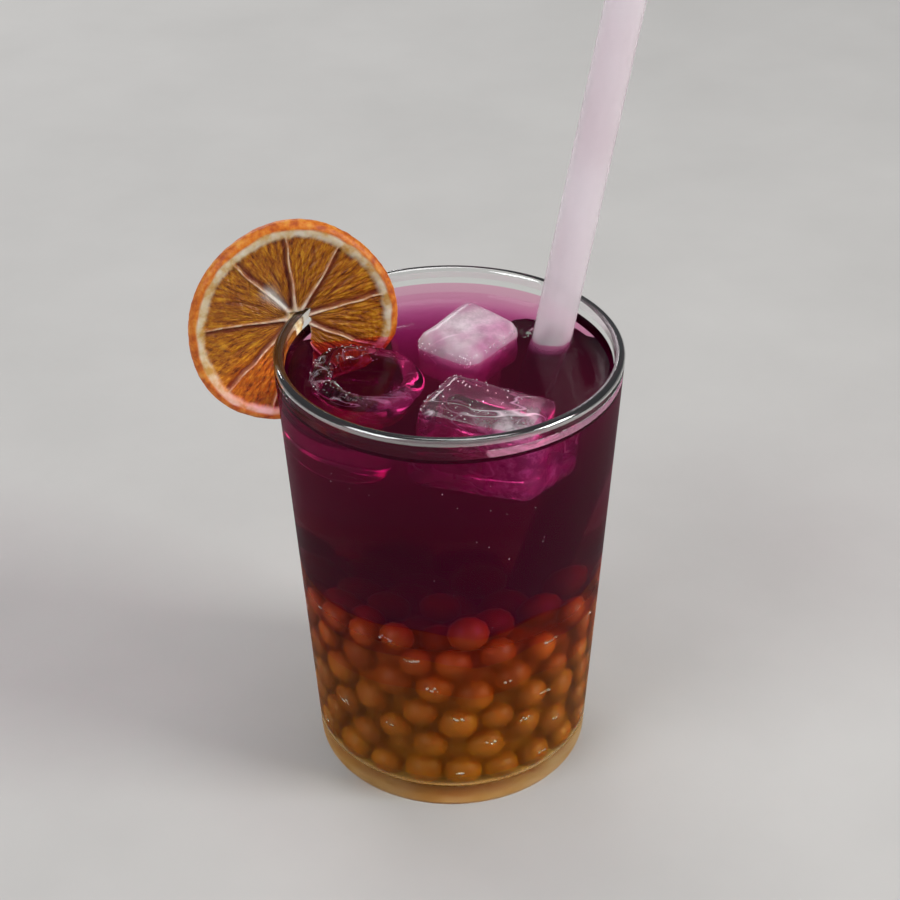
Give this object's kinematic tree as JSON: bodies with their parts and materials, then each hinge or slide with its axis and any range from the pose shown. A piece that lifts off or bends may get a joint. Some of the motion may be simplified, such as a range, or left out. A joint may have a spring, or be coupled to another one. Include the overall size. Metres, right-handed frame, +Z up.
{
  "type": "bubble tea",
  "caption": "Iced fruit bubble tea in a clear tapered glass, with tapioca pearls, ice, a wide straw and a dried orange slice on the rim",
  "frame": {"origin": "the middle of the glass's flat underside, on the table", "axes": "+Z up along the glass's axis; -Y is the side that the front ice lies on; the straw leans towards +X and +Y"},
  "size_m": [0.1172, 0.0912, 0.2109],
  "materials": {
    "glass": "clear fire-polished glass",
    "pearl": "glossy translucent amber tapioca",
    "drink": "clear deep purple tea, amber near the bottom",
    "straw": "frosted pale pink plastic",
    "orange": "dried orange, rough rind and sunken fibrous pulp",
    "ice": "wet melting ice, clear with cloudy cracks"
  },
  "bodies": {
    "root": {"glass": "glass", "pearls": "pearl", "tea": "drink", "tea_in_straw": "drink", "straw": "straw", "orange_slice": "orange", "ice_back": "ice", "ice_front": "ice", "ice_round": "ice"}
  },
  "joints": []
}
